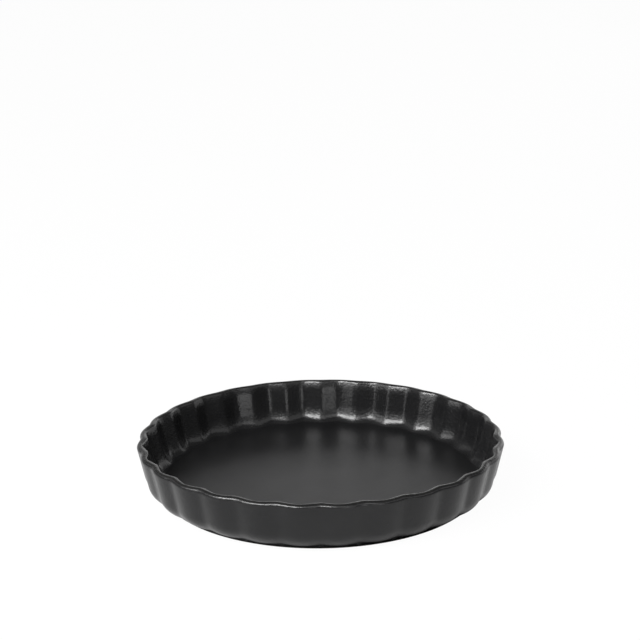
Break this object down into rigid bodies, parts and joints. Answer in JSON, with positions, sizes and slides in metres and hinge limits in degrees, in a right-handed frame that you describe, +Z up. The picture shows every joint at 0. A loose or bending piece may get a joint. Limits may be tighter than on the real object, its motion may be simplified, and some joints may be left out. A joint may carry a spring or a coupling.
{
  "type": "pie dish",
  "caption": "Round fluted ceramic pie dish with a flared scalloped wall, flat floor, low foot ring and black satin glaze, for baking and serving tarts.",
  "frame": {"origin": "middle of the foot ring, on the surface the dish stands on", "axes": "+Z up along the dish's axis; +X and +Y each run through a flute valley"},
  "size_m": [0.298, 0.298, 0.0435],
  "materials": {
    "bare_stoneware": "matte",
    "black_glaze": "satin"
  },
  "bodies": {
    "root": {"stoneware_body": "bare_stoneware", "glaze_coat": "black_glaze", "base_glaze": "black_glaze"}
  },
  "joints": []
}
